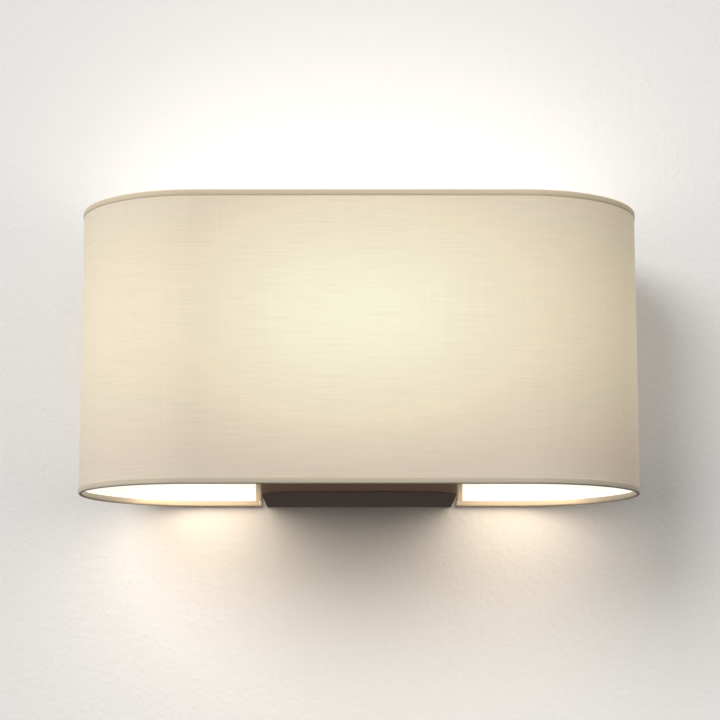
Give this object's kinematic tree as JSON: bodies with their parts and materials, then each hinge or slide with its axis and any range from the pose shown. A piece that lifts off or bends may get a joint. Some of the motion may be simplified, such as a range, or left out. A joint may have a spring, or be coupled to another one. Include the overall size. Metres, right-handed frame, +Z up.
{
  "type": "fabric shade wall light",
  "caption": "Wall light: a straight-sided fabric shade with rounded ends over screw-in globe lamps on a flat bronze block.",
  "frame": {"origin": "on the wall face of the fixing plate, midway between its two screw slots", "axes": "+X to the right as seen from the room, +Y into the wall, +Z up"},
  "size_m": [0.3504, 0.1542, 0.179],
  "materials": {
    "shade_fabric": "fine woven slub, off-white",
    "shade_lining": "white styrene laminate, satin",
    "ring_wire": "white powder coat",
    "edge_trim": "same weave as the shade, rolled tape",
    "carrier_white": "white powder coat",
    "bronze_finish": "dark bronze, fine satin",
    "plated_steel": "bright zinc plate",
    "bronze_screws": "dark bronze, satin",
    "rubber_bush": "soft black",
    "terminal_plastic": "natural nylon",
    "brass": "bright brass",
    "plated_screws": "zinc plate",
    "earth_insulation": "green and yellow sleeve",
    "live_insulation": "brown sleeve",
    "neutral_insulation": "blue sleeve",
    "holder_plastic": "white heat-proof moulding",
    "ceramic": "glazed white ceramic",
    "nickel_shell": "nickel plate",
    "opal_glass": "satin opal",
    "collar_plastic": "white moulding",
    "lamp_cap_metal": "rolled thread, bright",
    "cap_glass_black": "black glass",
    "solder_tip": "tinned"
  },
  "bodies": {
    "fitting": {"block_cover": "bronze_finish", "bottom_ring": "ring_wire", "bottom_trim": "edge_trim", "cable_bush": "rubber_bush", "carrier_arm_back_left": "carrier_white", "carrier_arm_back_right": "carrier_white", "carrier_arm_front_left": "carrier_white", "carrier_arm_front_right": "carrier_white", "carrier_plate": "carrier_white", "cover_screws": "bronze_screws", "cutout_hoop": "ring_wire", "cutout_trim": "edge_trim", "earth_lead": "earth_insulation", "earth_screw": "plated_steel", "earth_tag": "plated_steel", "lampholder_contact_left": "brass", "lampholder_contact_right": "brass", "lampholder_insert_left": "ceramic", "lampholder_insert_right": "ceramic", "lampholder_left": "holder_plastic", "lampholder_right": "holder_plastic", "lampholder_shell_left": "nickel_shell", "lampholder_shell_right": "nickel_shell", "live_lead_left": "live_insulation", "live_lead_right": "live_insulation", "locknut_left": "plated_steel", "locknut_right": "plated_steel", "lower_shade_ring_left": "holder_plastic", "lower_shade_ring_right": "holder_plastic", "neutral_lead_left": "neutral_insulation", "neutral_lead_right": "neutral_insulation", "nipple_left": "plated_steel", "nipple_right": "plated_steel", "shade_fabric": "shade_fabric", "shade_lining": "shade_lining", "terminal_screws": "plated_screws", "terminal_strip": "terminal_plastic", "terminal_tubes": "brass", "top_ring": "ring_wire", "top_trim": "edge_trim", "upper_shade_ring_left": "holder_plastic", "upper_shade_ring_right": "holder_plastic", "wall_plate": "plated_steel"},
    "lamp_left": {"lamp_globe_left": "opal_glass", "lamp_collar_left": "collar_plastic"},
    "lamp_cap_left_screw": {"lamp_cap_left": "lamp_cap_metal", "lamp_cap_insulator_left": "cap_glass_black", "lamp_cap_contact_left": "solder_tip"},
    "lamp_right": {"lamp_globe_right": "opal_glass", "lamp_collar_right": "collar_plastic"},
    "lamp_cap_right_screw": {"lamp_cap_right": "lamp_cap_metal", "lamp_cap_insulator_right": "cap_glass_black", "lamp_cap_contact_right": "solder_tip"}
  },
  "joints": [
    {"name": "lamp_left_rise", "type": "slide", "parent": "fitting", "child": "lamp_left", "axis": [0, 0, 1], "range_m": [0, 0.01129]},
    {"name": "lamp_left_turn", "type": "hinge", "parent": "lamp_left", "child": "lamp_cap_left_screw", "pos_m": [-0.033, -0.078, 0.045], "axis": [0, 0, 1], "range_deg": [0, 1440]},
    {"name": "lamp_right_rise", "type": "slide", "parent": "fitting", "child": "lamp_right", "axis": [0, 0, 1], "range_m": [0, 0.01129]},
    {"name": "lamp_right_turn", "type": "hinge", "parent": "lamp_right", "child": "lamp_cap_right_screw", "pos_m": [0.033, -0.078, 0.045], "axis": [0, 0, 1], "range_deg": [0, 1440]}
  ],
  "couplings": [
    {"joint": "lamp_left_turn", "follows": "lamp_left_rise", "rad_per_m": 2226.5},
    {"joint": "lamp_right_turn", "follows": "lamp_right_rise", "rad_per_m": 2226.5}
  ]
}
